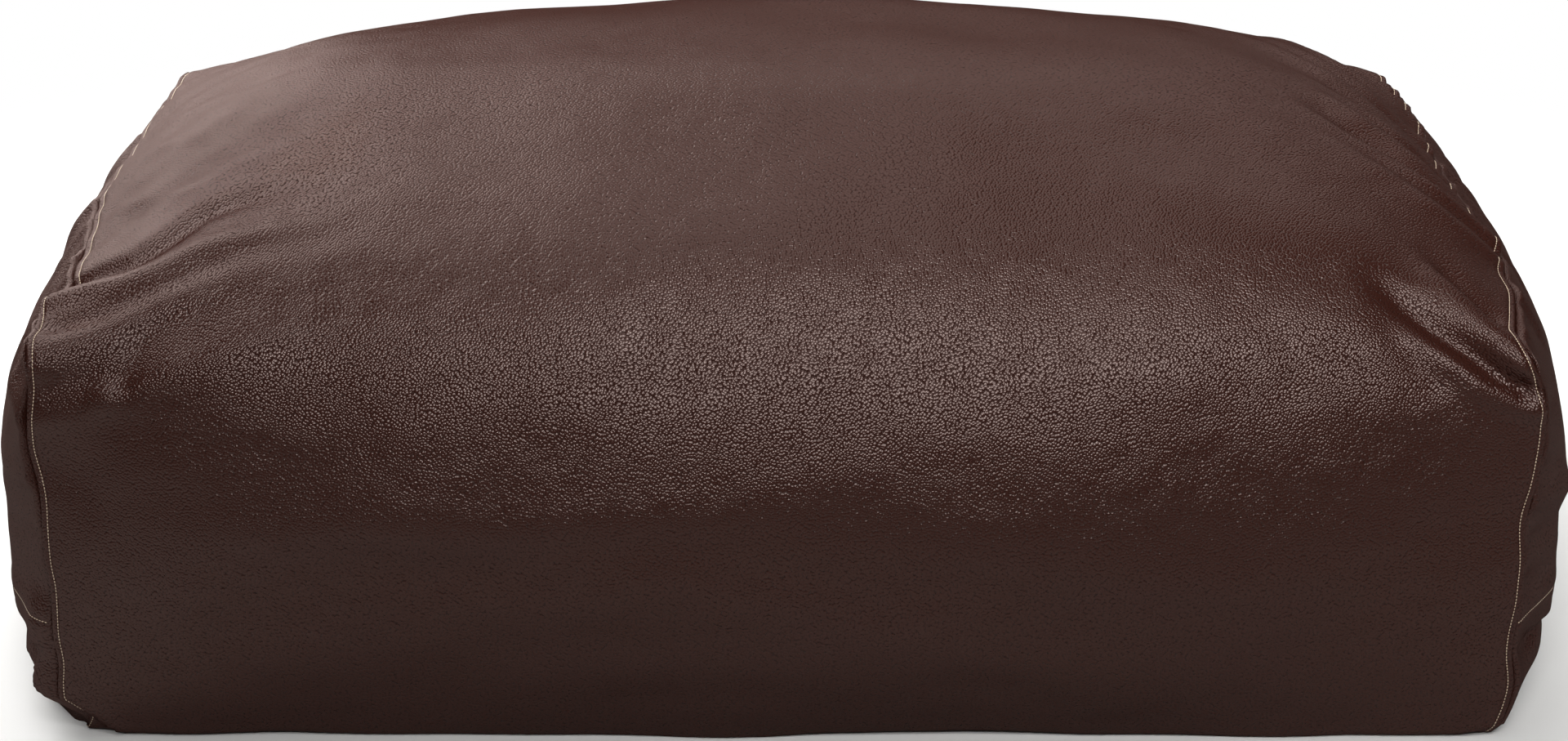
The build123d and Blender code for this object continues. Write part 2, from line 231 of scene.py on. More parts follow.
# Zips and thicknesses, in metres
ZIP_ARC = 1.29828  # radius of a zip's curve in plan
ZIP_FACE = 0.09  # the lap's face, out from the end seam
ZIP_POINTS = 90  # points along a zip
TAPE_DEPTH, COIL_DEPTH = 0.0093, 0.008  # behind the lap's face
TAPE_WIDTH, TAPE_GAP, TAPE_OVER = 0.014, 0.0013, 0.008  # gap is to the zip's middle, over is past the coil
TAPE_THICK, BASE_THICK = 0.0005, 0.0011  # thickness of a tape and of the base panel
COIL_STEP, COIL_WIDTH, COIL_HEIGHT = 0.0016, 0.0032, 0.0024  # off the zip's middle, then the size of one turn

# The liner and the beads
INNER_BOW = 0.066  # how far their ends swell past the seams
INNER_ENDS = (0.05, 0.3, 0.55, 0.75, 0.88, 0.96)  # sizes of the rings that close an end
INNER_CELLS = (10, 22)  # points up a side and across the top
INNER_DEPTH, INNER_HEIGHT = 0.36, 0.38  # half depth and height that an inset is taken from
INNER_FOOT = 0.3  # share of an inset left above the floor

# Grain of the leathercloth, in pebbles: drift of its rows, their angle in radians, unevenness and depth.
DRIFT_SCALE, DRIFT, ROW_SLANT, UNEVEN, PEBBLE_DEPTH = 0.1, 1.5, 0.6, 0.75, 0.30
GLOSS = (0.030, 0.024, 0.0222, 1.0)  # tint of its gloss, the same at every angle
WHITE = (1, 1, 1, 1)  # backdrop
FLOOR_HALF = 9  # half the width of the floor
FLOOR_FADE = (0.9, 1.7)  # where the floor starts to run out into the backdrop, and where it has

# Camera at the photograph's angle: place in metres, tilt in degrees, lens in mm
CAMERA_PLACE, CAMERA_TILT, CAMERA_LENS = (0, -2.62, 1.35), 66, 68.6

# Softboxes: place, aim, width and height in metres, how much brighter than white each looks, and its
# spread in degrees. The two in front have grids, so that they light the bag and not the floor before it.
SOFTBOXES = (
    ("overhead softbox", (0.0, -0.3, 2.5), (0.0, -0.3, 0.0), (1.5, 2.0), 2.0, 180),
    ("overhead back softbox", (0.1, 1.0, 2.3), (0.0, 0.0, 0.4), (1.8, 0.8), 2.8, 180),
    ("back softbox", (0.45, 2.2, 1.5), (0.1, 0.0, 0.45), (2.5, 0.8), 4.6, 180),
    ("back left softbox", (-1.15, 1.3, 1.8), (-0.3, 0.0, 0.45), (1.1, 0.8), 12.0, 180),
    ("high left softbox", (-1.85, 0.4, 2.25), (-0.4, -0.2, 0.4), (1.2, 1.2), 7.5, 180),
    ("low back left softbox", (-1.65, 2.2, 0.6), (-0.4, 0.0, 0.45), (1.5, 0.9), 16.0, 180),
    ("back right softbox", (1.5, 1.7, 1.9), (0.3, 0.0, 0.45), (1.2, 0.9), 0.8, 180),
    ("low back right softbox", (1.8, 2.1, 0.6), (0.4, 0.0, 0.45), (1.4, 0.9), 1.4, 180),
    ("front softbox", (0.5, -2.5, 1.85), (0.5, -0.4, 1.05), (3.4, 0.35), 4.5, 62),
    ("high front softbox", (1.0, -2.0, 2.4), (0.9, -0.2, 0.9), (2.6, 0.35), 4.6, 62),
)


# Small helpers

def linear(code):
    """sRGB hex to linear colour with alpha."""
    values = [int(code[i:i + 2], 16) / 255 for i in (1, 3, 5)]
    return [v / 12.92 if v <= 0.04045 else ((v + 0.055) / 1.055) ** 2.4 for v in values] + [1.0]


def darker(colour, share):
    """A share of a linear colour, with its alpha kept."""
    return [share * v for v in colour[:3]] + [1.0]


def add_node(tree, kind, inputs=(), **settings):
    """Add one node, set its fields, and set or link its inputs. A node stands for its first output."""
    node = tree.nodes.new(kind)
    for key, value in settings.items():
        setattr(node, key, value)
    for key, value in dict(inputs).items():
        if isinstance(value, bpy.types.Node):
            value = value.outputs[0]
        if isinstance(value, bpy.types.NodeSocket):
            tree.links.new(value, node.inputs[key])
        else:
            node.inputs[key].default_value = value
    return node


def mesh_piece(name, points, faces, material, edges=()):
    """A smooth mesh object at the origin, with its place in its vertices."""
    mesh = bpy.data.meshes.new(name)
    mesh.from_pydata(np.asarray(points, float).reshape(-1, 3), edges, faces)
    mesh.polygons.foreach_set("use_smooth", [True] * len(mesh.polygons))
    mesh.materials.append(material)
    mesh.update()
    piece = bpy.data.objects.new(name, mesh)
    bpy.context.scene.collection.objects.link(piece)
    return piece


def leather_panel(name, grid, flip=False):
    """A panel of leathercloth, with the cloth's own lengths, in metres, as its UV map."""
    piece = mesh_piece(name, grid, grid_faces(*grid.shape[:2], flip=flip), material_for("leather"))
    u, v = (np.concatenate([[0], np.cumsum(np.linalg.norm(np.diff(grid, axis=k), axis=2).mean(1 - k))])
            for k in (0, 1))
    flat = np.stack(np.meshgrid(u, v, indexing="ij"), -1).reshape(-1, 2)
    corners = np.zeros(len(piece.data.loops), int)
    piece.data.loops.foreach_get("vertex_index", corners)
    piece.data.uv_layers.new(name="cloth").data.foreach_set("uv", flat[corners].ravel())
    return piece


def grid_faces(rows, columns, flip=False):
    """Quads of a grid of points stored row by row."""
    corner = (np.arange(rows - 1)[:, None] * columns + np.arange(columns - 1)[None, :]).ravel()
    ring = [corner, corner + columns, corner + columns + 1, corner + 1]
    if flip:
        ring.reverse()
    return np.stack(ring, 1).tolist()


def smooth_rows(cells, places):
    """Weights that read a row of evenly spaced values at any places, on a smooth curve."""
    places = np.clip(np.asarray(places, float), 0, cells)
    low = np.minimum(places.astype(int), cells - 1)
    t = places - low
    weights = np.zeros((len(places), cells + 1))
    shares = (
        -0.5 * t + t ** 2 - 0.5 * t ** 3,
        1 - 2.5 * t ** 2 + 1.5 * t ** 3,
        0.5 * t + 2 * t ** 2 - 1.5 * t ** 3,
        -0.5 * t ** 2 + 0.5 * t ** 3,
    )
    for step, share in zip((-1, 0, 1, 2), shares):
        at = low + step
        np.add.at(weights, (np.arange(len(places)), np.clip(at, 0, cells)), share)
        for past, end, inside in ((at < 0, 0, 1), (at > cells, cells, cells - 1)):
            rows = np.nonzero(past)[0]
            weights[rows, end] += share[rows]
            weights[rows, inside] -= share[rows]
    return weights


def resample(grid, rows, columns):
    """Read a grid of points at any places along both ways, on smooth curves."""
    down, over = (smooth_rows(count - 1, at) for count, at in zip(grid.shape, (rows, columns)))
    return np.einsum("ai,ijk,bj->abk", down, grid, over, optimize=True)


def smoothstep(start, end, value):
    """0 at the start, 1 at the end and beyond it, soft between. The start may be the higher one."""
    t = np.clip((value - start) / (end - start), 0, 1)
    return t * t * (3 - 2 * t)


def near(distance, reach):
    """1 on a line, and less with the distance from it."""
    return np.exp(-(distance / reach) ** 2)


def look_up(value, table):
    """Read a table of places and values at any places."""
    return np.interp(value, *np.array(table, float).T)


def from_edge(count):
    """How many steps each point of a row is from the nearer end of the row."""
    return np.minimum(np.arange(count), count - 1 - np.arange(count))


def soften(line):
    """One pass of softening along the first axis, with both ends held."""
    line[1:-1] = 0.25 * line[:-2] + 0.5 * line[1:-1] + 0.25 * line[2:]
    return line


def blur(grid, passes):
    """Soften a grid of values along both ways, with its border held."""
    for _ in range(passes):
        for axis in (0, 1):
            grid = np.swapaxes(soften(np.swapaxes(grid, 0, axis).copy()), 0, axis)
    return grid


def normals_of(points):
    """Unit normals of a grid of points, rows by columns by xyz."""
    n = np.cross(np.gradient(points, axis=0), np.gradient(points, axis=1))
    return n / np.maximum(np.linalg.norm(n, axis=2, keepdims=True), 1e-12)


def random_waves(points, seed, count, shortest, longest):
    """Sum of waves that run in random directions, with lengths between two sizes."""
    pick = np.random.default_rng(seed)
    total = np.zeros(points.shape[:-1])
    for _ in range(count):
        way = pick.normal(size=3)
        way *= 2 * math.pi / pick.uniform(shortest, longest) / np.linalg.norm(way)
        total += np.sin(points @ way + pick.uniform(0, 6.28))
    return total


# The bag's form before stuffing

def three_point_circle(p, q, r):
    """Centre and radius of the circle through three points."""
    (ax, ay), (bx, by), (cx, cy) = p, q, r
    d = 2 * (ax * (by - cy) + bx * (cy - ay) + cx * (ay - by))
    a, b, c = ax * ax + ay * ay, bx * bx + by * by, cx * cx + cy * cy
    centre = np.array([(a * (by - cy) + b * (cy - ay) + c * (ay - by)) / d,
                       (a * (cx - bx) + b * (ax - cx) + c * (bx - ax)) / d])
    return centre, math.dist(centre, p)


def sweep(centre, start, end, count=40):
    """Points on the short arc about a centre."""
    a0 = math.atan2(start[1] - centre[1], start[0] - centre[0])
    a1 = math.atan2(end[1] - centre[1], end[0] - centre[0])
    turn = (a1 - a0 + math.pi) % (2 * math.pi) - math.pi
    angles = a0 + turn * np.linspace(0, 1, count)
    return centre + math.dist(centre, start) * np.stack([np.cos(angles), np.sin(angles)], 1)


def even(points, cells):
    """The same line with evenly spaced points."""
    along = np.concatenate([[0], np.cumsum(np.linalg.norm(np.diff(points, axis=0), axis=1))])
    at = np.linspace(0, along[-1], cells + 1)
    return np.stack([np.interp(at, along, points[:, k]) for k in range(2)], 1)


def touch(centre, radius, inner):
    """Point where an arc about an inner centre touches a circle."""
    return centre + (inner - centre) * radius / math.dist(inner, centre)


def slice_line(form, q, side_cells, top_cells):
    """Outline across the bag at q of its half length: front foot, shoulder, crown, back foot."""
    q = abs(q)
    # How full the bag is here: 1 in the middle, 0 at an end seam
    full = 1 - 0.55 * q ** 2.1 - 0.45 * q ** 8
    half = form.seam_depth / 2
    swell = SEAM_SWELL + (form.front_swell - SEAM_SWELL) * (1 - q ** 2.5)
    shoulder = form.seam_height + form.shoulder_rise * full
    crown = form.seam_height + form.seam_arch + (form.crown_rise - form.seam_arch) * full
    bend = SEAM_BEND + (form.shoulder_radius - SEAM_BEND) * (1 - q ** 3)
    foot = FOOT_ROUND - FOOT_LOSS * q ** 2
    low, high = np.array([-half, 0.0]), np.array([-half, shoulder])
    front_mid, front_r = three_point_circle(low, (-half - swell, SWELL_HEIGHT * shoulder), high)
    crown_mid, crown_r = three_point_circle(high, (0, crown), (half, shoulder))
    # The foot's arc touches the floor and, from inside, the front's arc.
    toe = np.array([front_mid[0] - math.sqrt((front_r - foot) ** 2 - (foot - front_mid[1]) ** 2), foot])
    ankle = touch(front_mid, front_r, toe)
    # The shoulder's arc touches the front's and the crown's arcs from inside.
    apart = math.dist(front_mid, crown_mid)
    ahead = ((front_r - bend) ** 2 - (crown_r - bend) ** 2 + apart * apart) / (2 * apart)
    aside = math.sqrt((front_r - bend) ** 2 - ahead * ahead)
    along = (crown_mid - front_mid) / apart
    across = np.array([-along[1], along[0]])
    turn_mid = min((front_mid + ahead * along + side * aside * across for side in (-1, 1)),
                   key=lambda c: math.dist(c, high))
    leave, join = touch(front_mid, front_r, turn_mid), touch(crown_mid, crown_r, turn_mid)
    turn = sweep(turn_mid, leave, join, 2 * HALF_TURN + 1)
    front = np.concatenate([sweep(toe, (toe[0], 0.0), ankle, 12), sweep(front_mid, ankle, leave)[1:],
                            turn[1:HALF_TURN + 1]])
    rise = np.concatenate([turn[HALF_TURN:], sweep(crown_mid, join, (0, crown))[1:]])
    top = np.concatenate([rise, rise[-2::-1] * (-1, 1)])
    front, top = even(front, side_cells), even(top, top_cells)
    front[:, 0] -= TOE_OUT * q ** 4 * np.clip(1 - front[:, 1] / TOE_HEIGHT, 0, 1) ** 2
    return np.concatenate([front[:-1], top, front[-2::-1] * (-1, 1)])


def end_swell_at(height, foot):
    """Share of the end's swell at a share of its height, from its foot's share up."""
    table = np.array([foot, 0.4 * foot + 0.54, 0.91, 0.945, 0.98, 1.0, 0.99, 0.854, 0.635, 0.365, 0.0])
    return (smooth_rows(10, 10 * np.ravel(height)) @ table).reshape(np.shape(height))


def end_bow_at(across):
    """Share of the end's swell at a share of its half width: steep beside the seam, then broad."""
    steep = BOW_AT_KNEE * (1 - across) / (1 - BOW_KNEE)
    broad = 1 - (1 - BOW_AT_KNEE) * (across / BOW_KNEE) ** 2
    return np.maximum(-BOW_BLEND * np.log(np.exp(-steep / BOW_BLEND) + np.exp(-broad / BOW_BLEND)), 0)


def seam_parts(loop, cells):
    """Front, top and back of an end seam's loop: up the front, from front to back, and up the back."""
    _, side_cells, top_cells = cells
    return loop[:side_cells + 1], loop[side_cells:side_cells + top_cells + 1], loop[:-side_cells - 2:-1]


def seam_step(side, seam, cells):
    """How far each point of an end seam wanders along X."""
    _, side_cells, top_cells = cells
    step = np.zeros(len(seam))
    corners = (side_cells, side_cells + top_cells)
    for part, span, axis in (("front", slice(0, corners[0]), 1), ("top", slice(*corners), 0),
                             ("back", slice(corners[1], None), 1)):
        place, move = np.array(WANDER[side + "_" + part]).T * MM
        step[span] = np.interp(seam[span, axis], place, move)
    return soften(soften(step))


def cover_form(form, cloth):
    """Grids of the wrap and of the right and left ends, before stuffing."""
    cells = tuple(round(size / cloth.cell) for size in (form.seam_span, form.seam_height, form.seam_depth))
    long_cells, side_cells, top_cells = cells
    half = form.seam_span / 2
    wrap = np.zeros((long_cells + 1, 2 * side_cells + top_cells + 1, 3))
    for i, q in enumerate(np.linspace(-1, 1, long_cells + 1)):
        wrap[i, :, 0] = q * half
        wrap[i, :, 1:] = slice_line(form, q, side_cells, top_cells)
    # Seen from its side, an end is a patch between the front, top, back and base of its seam.
    seam = wrap[-1, :, 1:]
    front, top, back = seam_parts(seam, cells)
    a = np.linspace(0, 1, top_cells + 1)[:, None, None]
    b = np.linspace(0, 1, side_cells + 1)[None, :, None]
    base = front[0] + (back[0] - front[0]) * a[:, 0]
    patch = (1 - a) * front[None] + a * back[None] + (1 - b) * base[:, None] + b * top[:, None]
    patch -= (1 - a) * (1 - b) * front[0] + a * (1 - b) * back[0] + (1 - a) * b * front[-1] + a * b * back[-1]
    y, z = patch[:, :, 0], patch[:, :, 1]
    across = np.clip(np.abs(y) / np.abs(front[None, :, 0]), 0, 1)
    height = np.clip(z / top[:, None, 1], 0, 1)
    beside = (y - front[None, :, 0]) / PLUMP_WIDTH
    plump = beside * np.exp(1 - beside) * smoothstep(0, 0.03, z) * (1 - smoothstep(0.09, 0.17, z))
    a, b = a[:, :, 0], b[:, :, 0]
    at_top = near((1 - b) * form.seam_height, END_WANDER)
    at_side = near(np.minimum(a, 1 - a) * form.seam_depth, END_WANDER)
    ends = []
    for side, sign, edge, foot, low_corner in END_FEET:
        out = form.end_swell * end_swell_at(height, foot) * end_bow_at(across) + low_corner * plump
        step = seam_step(side, seam, cells)
        wrap[:, :, 0] += near(np.abs(wrap[:, 0, 0] - sign * half), WRAP_WANDER)[:, None] * step[None, :]
        front_step, top_step, back_step = seam_parts(step, cells)
        by_front = near(a * form.seam_depth, END_WANDER) * front_step[None, :]
        by_back = near((1 - a) * form.seam_depth, END_WANDER) * back_step[None, :]
        by_side = np.where(np.abs(by_front) > np.abs(by_back), by_front, by_back)
        by_top = at_top * top_step[:, None]
        wander = by_top * (1 - at_side) + by_side * (1 - at_top) + 0.5 * (by_top + by_side) * at_side * at_top
        x = sign * (half + out) + wander
        # The border is the seam itself.
        x[0, :], x[:, -1], x[-1, :] = seam_parts(wrap[edge, :, 0], cells)
        ends.append(np.concatenate([x[:, :, None], patch], 2))
    return wrap, ends[0], ends[1], cells


# Stuffing

def sew_panels(grids, cells):
    """Join the wrap and the ends at their seams: all points, all faces, and each grid's point numbers."""
    wrap, *ends = grids
    rows, columns = wrap.shape[:2]
    ids = np.arange(rows * columns).reshape(rows, columns)
    points, numbers, faces = [wrap.reshape(-1, 3)], [ids], grid_faces(rows, columns)
    count = rows * columns
    for grid, edge in zip(ends, (rows - 1, 0)):
        own = -np.ones(grid.shape[:2], int)
        own[0, :], own[:, -1], own[-1, :] = seam_parts(ids[edge], cells)
        free = own < 0
        own[free] = count + np.arange(free.sum())
        count += free.sum()
        points.append(grid[free])
        numbers.append(own)
        faces += own.ravel()[np.array(grid_faces(*grid.shape[:2], flip=edge == 0))].tolist()
    return np.concatenate(points), faces, numbers


def push_out(start, cut, faces, held, cloth):
    """Let pressure push the cover out, from its start towards the size its cloth was cut to."""
    sheet = mesh_piece("cover_sheet", start, faces, None)
    sheet.shape_key_add(name="sewn")
    key = sheet.shape_key_add(name="cut")
    key.data.foreach_set("co", cut.ravel())
    sheet.vertex_groups.new(name="held").add(held, 1.0, "REPLACE")
    stuffing = sheet.modifiers.new("Stuffing", "CLOTH")
    for name, value in CLOTH_FEEL.items():
        setattr(stuffing.settings, name, value)
    stuffing.settings.vertex_group_mass = "held"
    stuffing.settings.rest_shape_key = key
    stuffing.settings.uniform_pressure_force = cloth.pressure
    stuffing.settings.effector_weights.gravity = 0
    stuffing.collision_settings.use_collision = False
    stuffing.point_cache.frame_end = cloth.frames
    scene = bpy.context.scene
    for step in range(1, cloth.frames + 1):
        scene.frame_set(step)
    stuffed = sheet.evaluated_get(bpy.context.evaluated_depsgraph_get())
    places = np.zeros(len(start) * 3)
    stuffed.data.vertices.foreach_get("co", places)
    scene.frame_set(1)
    mesh = sheet.data
    bpy.data.objects.remove(sheet)
    bpy.data.meshes.remove(mesh)
    return places.reshape(-1, 3)


def stuff_cover(form, cloth):
    """Fill the sewn cover: cloth cut fuller than its seams, pushed out by the beads."""
    *grids, cells = cover_form(form, cloth)
    _, side_cells, top_cells = cells
    sewn, faces, numbers = sew_panels(grids, cells)
    ids = numbers[0]
    # The end seams, the foot and the band under each lap are held.
    held = set(ids[0]) | set(ids[-1]) | set(ids[:, 0]) | set(ids[:, -1])
    reach = np.full(len(sewn), np.inf)
    reach[ids] = (from_edge(len(ids)) * cloth.cell)[:, None]
    for own, grid in zip(numbers[1:], grids[1:]):
        z = grid[:, :, 2]
        band = (z > form.lap_top - 1.4 * form.lap_drop) & (z < form.lap_top + 0.005)
        held |= set(own[:, 0]) | set(own[band])
        steps = np.minimum(from_edge(top_cells + 1)[:, None], side_cells - np.arange(side_cells + 1)[None, :])
        reach[own] = np.minimum(reach[own], steps * cloth.cell)
    held = sorted(int(k) for k in held)
    fuller = 1 + cloth.ease * np.exp(-reach / cloth.ease_reach) * smoothstep(0.04, 0.2, sewn[:, 2])
    cut = sewn.copy()
    cut[:, 1] *= fuller
    cut[:, 2] = STUFF_MIDDLE + (sewn[:, 2] - STUFF_MIDDLE) * fuller
    start = sewn.copy()
    start[:, 2] += RIPPLE * random_waves(sewn, seed=7, count=14, shortest=0.05, longest=0.14)
    start[held] = sewn[held]
    move = push_out(start, cut, faces, held, cloth) - sewn
    # The bag keeps its sewn size: most of the broad movement is taken off, and the puckers stay.
    stuffed = []
    for own, grid in zip(numbers, grids):
        pucker = blur(move[own], 1)
        pucker -= BROAD_SHARE * blur(pucker, BROAD_PASSES)
        pucker *= (FLAT_PUCKERS + (1 - FLAT_PUCKERS) * np.exp(-reach[own] / PUCKER_REACH))[..., None]
        size = np.linalg.norm(pucker, axis=2, keepdims=True)
        stuffed.append(grid + pucker * np.minimum(1, cloth.cap / np.maximum(size, 1e-9)))
    return *stuffed, cells


STUFFED = {}


def stuffed_cover():
    """The stuffed grids, made once and read by each panel's operator."""
    scene = bpy.context.scene
    if not STUFFED:
        STUFFED["grids"] = stuff_cover(scene.bag_form, scene.bag_cloth)
    return STUFFED["grids"]


# Folds, seams and tucks on the finished panels

def fold_lift(points, folds):
    """Height added by folds, each a soft ridge or valley along a line that fades towards its far end."""
    lift = np.zeros(points.shape[:-1])
    for height, first, last, line in folds:
        line = np.array(line, float) * MM
        spots = points[..., :line.shape[1]]
        room = 3 * MM * max(first, last)
        inside = ((spots > line.min(0) - room) & (spots < line.max(0) + room)).all(-1)
        spots = spots[inside]
        lengths = np.linalg.norm(np.diff(line, axis=0), axis=1)
        starts = np.concatenate([[0], np.cumsum(lengths)])
        best, along = np.full(len(spots), np.inf), np.zeros(len(spots))
        for k, length in enumerate(lengths):
            way = (line[k + 1] - line[k]) / length
            t = np.clip((spots - line[k]) @ way, 0, length)
            d = np.linalg.norm(spots - line[k] - t[:, None] * way, axis=1)
            nearer = d < best
            best[nearer], along[nearer] = d[nearer], (starts[k] + t)[nearer]
        u = along / starts[-1]
        width = MM * (first + (last - first) * u)
        lift[inside] += MM * height * (1 - smoothstep(0.5, 1, u)) * near(best, width)
    return lift


def gathers(sign, height, lean, seed):
    """Soft folds, in mm, that run in from a top seam where cloth is gathered into it, leaning to the back."""
    pick = np.random.default_rng(seed)
    folds = []
    seam, y, back = 624, -215.0, 330
    while y < back:
        tall = height * pick.uniform(0.6, 1.1)
        reach = pick.uniform(110, 230)
        away = reach * lean * pick.uniform(0.7, 1.2)
        gap = pick.uniform(46, 74)
        for step, share in ((0, 1.0), (0.5 * gap, -0.9)):
            line = tuple((sign * (seam - reach * t), y + step + away * t ** 1.3) for t in (0, 0.33, 0.66, 1))
            folds.append((share * tall, pick.uniform(9, 13), pick.uniform(15, 22), line))
        y += gap
    return tuple(folds)


def end_gathers(height, seed):
    """Small folds, in mm, that run into an end from its top, front and back seams, in its own plane."""
    pick = np.random.default_rng(seed)
    folds = []
    for start, way, span in END_SEAMS:
        along = np.array((-way[1], way[0]) if way[1] else (0, -1))
        at = 0.0
        while at < span:
            tall = height * pick.uniform(0.4, 1.2) * pick.choice((-0.8, 1.0))
            first = np.array(start) + along * at
            last = first + np.array(way) * pick.uniform(50, 150) + along * pick.uniform(-25, 25)
            folds.append((tall, pick.uniform(7, 11), pick.uniform(12, 20), (tuple(first), tuple(last))))
            at += pick.uniform(26, 60)
    return tuple(folds)


def lumps(points, height, seed):
    """Broad soft lumps of the fill."""
    return height * random_waves(points, seed, count=16, shortest=0.14, longest=0.34) / 2.8


def seam_inwards(points, sign):
    """Direction in which an end seam is drawn in, from its place on the seam's loop."""
    y, z = points[..., 1], points[..., 2]
    oy = np.sign(y) * np.maximum(np.abs(y) - LOOP_Y, 0.0)
    oz = np.maximum(z - LOOP_Z, 0.0)
    size = np.maximum(np.hypot(oy, oz), 1e-9)
    return -np.stack([np.full(y.shape, 0.6 * sign), 0.8 * oy / size, 0.8 * oz / size], -1)


def tuck(points):
    """Fold the lower front corners under: a crisp edge runs from the end to the foot, and the cloth below it
    goes back, in, and on the left along the edge as a pleat."""
    for sign, share, slide in TUCKS:
        x, y, z = (points[..., k].copy() for k in range(3))
        out = sign * x - CORNER_X
        along_front = TUCK_EDGE[0][1] + EDGE_SLOPE * out
        edge = share * np.maximum(np.where(out < 0, along_front, look_up(y, TUCK_EDGE)), 0)
        here = (y < TUCK_BACK) * smoothstep(-0.048, -0.03, out)
        below = np.maximum(edge - z, 0)
        low = below / np.maximum(edge, 1e-6)
        under = smoothstep(0, 0.003, below) * here
        pleat = slide * (1 - low) * under * near(np.maximum(-out, y + CORNER_Y), 0.03)
        inwards = low * here * np.maximum(out - look_up(y, TUCK_REST), 0)
        inwards += 0.005 * under * smoothstep(0, 0.02, out)
        front = smoothstep(-0.34, -0.365, y)
        points[..., 0] = x - sign * (pleat + share * inwards)
        points[..., 1] = y + share * (0.005 * under + 0.009 * low * here) * front
        points[..., 2] = z - EDGE_SLOPE * pleat
    return points


def spread(length, step):
    """Places along a panel: close beside both seams, even between them."""
    last = EDGE_STEPS[-1]
    inner = np.linspace(last, length - last, round((length - 2 * last) / step) + 1)
    return np.concatenate([EDGE_STEPS[:-1], inner, length - EDGE_STEPS[-2::-1]])


def seam_profile(d, heights):
    """Height of a panel at a distance from its seam."""
    return MM * np.interp(d / MM, EDGE_STEPS / MM, heights)


def draw_in(points, d, sign, depth):
    """Pull a panel's edge into the seam."""
    return points + depth * look_up(d / MM, DRAWN)[..., None] * seam_inwards(points, sign)


def settled(points):
    """Tuck the lower corners and keep the panel above the floor."""
    points = tuck(points)
    points[..., 2] = np.maximum(points[..., 2], FLOOR_GAP)
    return points


def turned_in(line, sign):
    """The seam allowance of one edge, turned inside the cover."""
    return line + ALLOWANCE * seam_inwards(line, sign)


def turned_under(line, x_share, y_share):
    """A foot edge, turned in flat under the bag."""
    return line * (x_share, y_share, 0) + (0, 0, BASE_LIFT)


# Materials

def new_material(name):
    """An empty material and its node tree."""
    material = bpy.data.materials.new(name)
    material.use_nodes = True
    material.node_tree.nodes.clear()
    return material, material.node_tree


def leathercloth(look):
    """Polyurethane leathercloth on a knit back, embossed with a pebble grain.
    Each pebble catches its own small highlight, and the furrows between them are darkened by painted shade in
    the colour."""
    material, tree = new_material("Pebbled leathercloth")
    grain = look.grain
    place = add_node(tree, "ShaderNodeTexCoord").outputs["UV"]
    # The rows of pebbles drift and lie at a slant to the panel, so they never line up with its edges.
    noise = add_node(tree, "ShaderNodeTexNoise", {
        "Vector": place, "Scale": DRIFT_SCALE / grain, "Detail": 0.0}, noise_dimensions="2D")
    drift = add_node(tree, "ShaderNodeVectorMath", {
        0: noise.outputs["Color"], 1: (0.5, 0.5, 0.5)}, operation="SUBTRACT")
    drift = add_node(tree, "ShaderNodeVectorMath", {0: drift, "Scale": DRIFT * grain}, operation="SCALE")
    moved = add_node(tree, "ShaderNodeVectorMath", {0: place, 1: drift}, operation="ADD")
    slant = add_node(tree, "ShaderNodeVectorRotate", {
        "Vector": moved, "Angle": ROW_SLANT}, rotation_type="Z_AXIS")
    pebble = add_node(tree, "ShaderNodeTexVoronoi", {
        "Vector": slant, "Scale": 1 / grain, "Randomness": UNEVEN}, voronoi_dimensions="2D")
    round_top = add_node(tree, "ShaderNodeMath", {0: pebble, 1: 2.0}, operation="POWER")
    height = add_node(tree, "ShaderNodeMath", {0: 1.0, 1: round_top}, operation="SUBTRACT")
    bump = add_node(tree, "ShaderNodeBump", {
        "Height": height, "Strength": 1.0, "Distance": PEBBLE_DEPTH * grain})
    # Painted shade: the colour falls to 0.7 of the leathercloth's in the furrows between the pebbles.
    painted_furrow_shade_mask = add_node(tree, "ShaderNodeMapRange", {"Value": pebble, "From Min": 0.7, "From Max": 0.4})
    face = linear(look.leather)
    colour = add_node(tree, "ShaderNodeMix", {0: painted_furrow_shade_mask, 6: darker(face, 0.7), 7: face}, data_type="RGBA")
    body = add_node(tree, "ShaderNodeBsdfPrincipled", {
        "Base Color": colour.outputs[2], "Roughness": 0.8, "Specular IOR Level": 0.0, "Normal": bump})
    glint = add_node(tree, "ShaderNodeBsdfGlossy", {"Color": GLOSS, "Roughness": 0.24, "Normal": bump})
    surface = add_node(tree, "ShaderNodeAddShader", {0: body, 1: glint})
    add_node(tree, "ShaderNodeOutputMaterial", {"Surface": surface})
    return material


def woven(name, code, spacing, roughness):
    """Plain-woven cloth: two sets of threads that shade each other at their crossings."""
    material, tree = new_material(name)
    place = add_node(tree, "ShaderNodeTexCoord").outputs["Object"]
    scale = 2 * math.pi / (20 * spacing)
    waves = [add_node(tree, "ShaderNodeTexWave", {"Vector": place, "Scale": scale}, bands_direction=way)
             for way in "YZ"]
    warp, weft = (wave.outputs["Fac"] for wave in waves)
    cross = add_node(tree, "ShaderNodeMath", {0: warp, 1: weft}, operation="ADD")
    bump = add_node(tree, "ShaderNodeBump", {"Height": cross, "Strength": 0.5, "Distance": 0.3 * spacing})
    thread = linear(code)
    colour = add_node(tree, "ShaderNodeMix", {0: warp, 6: darker(thread, 0.75), 7: thread}, data_type="RGBA")
    surface = add_node(tree, "ShaderNodeBsdfPrincipled", {
        "Base Color": colour.outputs[2], "Roughness": roughness, "Normal": bump})
    add_node(tree, "ShaderNodeOutputMaterial", {"Surface": surface})
    return material


